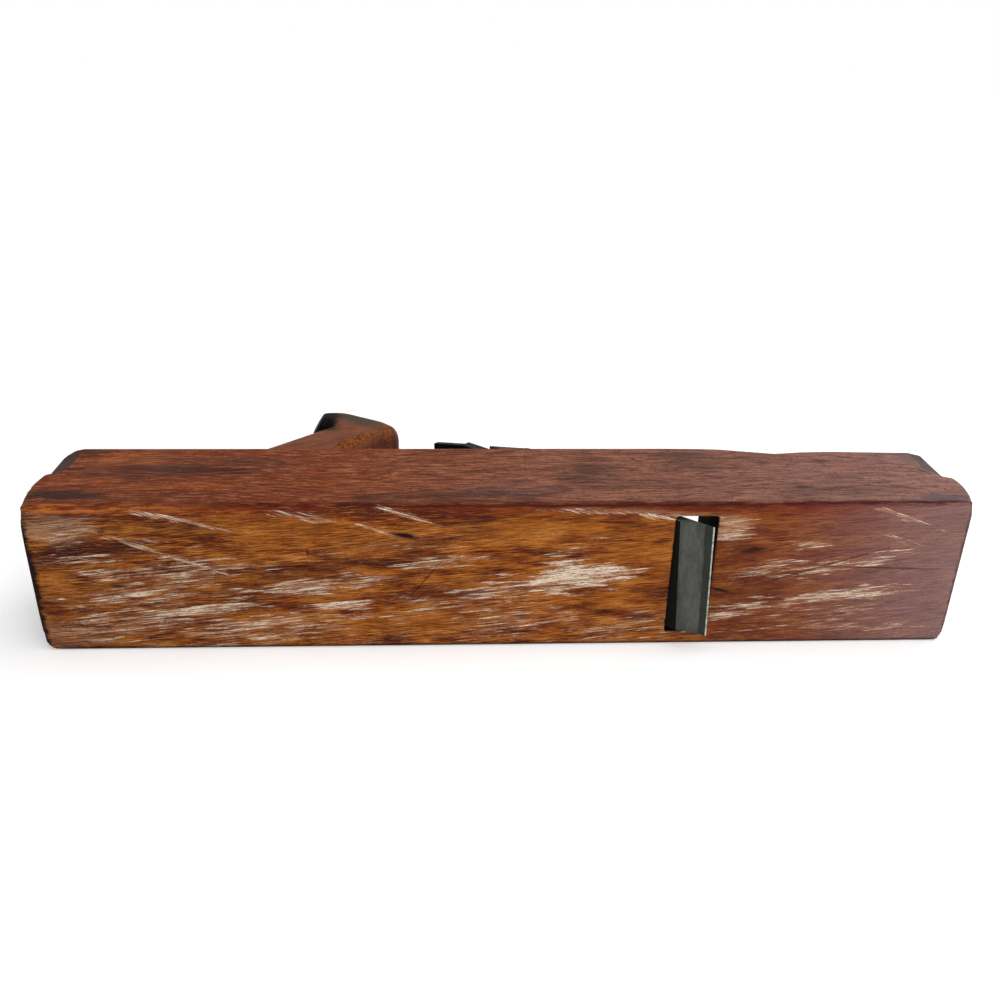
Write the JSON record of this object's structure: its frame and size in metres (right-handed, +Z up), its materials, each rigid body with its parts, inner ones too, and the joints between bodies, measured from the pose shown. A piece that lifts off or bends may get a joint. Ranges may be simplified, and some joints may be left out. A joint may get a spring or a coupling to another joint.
{
  "type": "wooden jack plane",
  "caption": "Worn wooden bench plane lying on its cheek: long stock with open tote, wedged double iron standing out of a wide mouth, chamfers and gouged stops.",
  "frame": {"origin": "middle of the left cheek, the side face that the plane lies on", "axes": "+X along the stock to the toe, +Y square to the sole from the sole to the top of the stock, +Z up from the left cheek to the right one"},
  "size_m": [0.4332, 0.1628, 0.0762],
  "materials": {
    "stock_wood": "worn oiled beech, dark and scuffed",
    "tote_wood": "hand polished beech",
    "wedge_wood": "old beech, battered at the head",
    "iron_steel": "dull, darkened by age, brighter bevel",
    "cap_steel": "dull, darkened by age",
    "boss_brass": "tarnished",
    "screw_steel": "dull"
  },
  "bodies": {
    "stock": {"stock": "stock_wood", "tote": "tote_wood"},
    "iron": {"cutting_iron": "iron_steel"},
    "cap": {"cap_iron": "cap_steel", "cap_boss": "boss_brass"},
    "screw": {"cap_screw": "screw_steel"},
    "wedge": {"wedge": "wedge_wood"}
  },
  "joints": [
    {"name": "iron_slide", "type": "slide", "parent": "stock", "child": "iron", "axis": [-0.7068, 0.7068, -0.0288], "range_m": [0, 0.1]},
    {"name": "cap_slide", "type": "slide", "parent": "iron", "child": "cap", "axis": [0.714, -0.6995, 0.0288], "range_m": [-0.005, 0.02]},
    {"name": "cap_screw_turn", "type": "hinge", "parent": "cap", "child": "screw", "pos_m": [0.03805, 0.01132, 0.03718], "axis": [0.6998, 0.7143, -0.0003], "continuous": true},
    {"name": "wedge_slide", "type": "slide", "parent": "iron", "child": "wedge", "axis": [-0.714, 0.6995, -0.0288], "range_m": [0, 0.1]}
  ]
}
